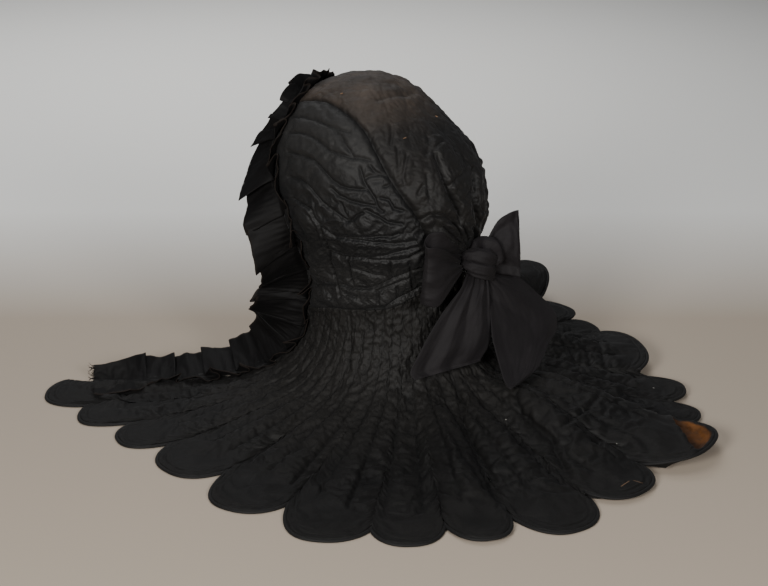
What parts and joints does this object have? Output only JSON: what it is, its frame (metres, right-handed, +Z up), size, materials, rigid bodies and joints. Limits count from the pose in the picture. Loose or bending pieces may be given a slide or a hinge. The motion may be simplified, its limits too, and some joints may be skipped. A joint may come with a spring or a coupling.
{
  "type": "quilted hood",
  "caption": "Quilted fabric hood with a padded crown, a spread shoulder cape with a scalloped hem, a pleated ribbon frill round the face and a ribbon bow at the nape.",
  "frame": {"origin": "middle of the outline on the floor, under the hood", "axes": "+Z up, the face opening looks along -Y, the wearer's left is +X"},
  "size_m": [0.6414, 0.676, 0.3371],
  "materials": {
    "quilt": "worn black silk with a soft sheen",
    "crown": "worn black silk, faded brownish on top",
    "ribbon": "pleated black silk ribbon",
    "bow": "matte, finely ribbed black ribbon",
    "piping": "narrow black binding"
  },
  "bodies": {
    "root": {"crown_panel": "crown", "side_panel_left": "quilt", "side_panel_right": "quilt", "cape": "quilt", "hem_piping": "piping", "face_ruffle": "ribbon", "bow_knot": "bow", "bow_loop_left": "bow", "bow_tail_left": "bow", "bow_tail_right": "bow", "bow_tail_up": "bow"}
  },
  "joints": []
}
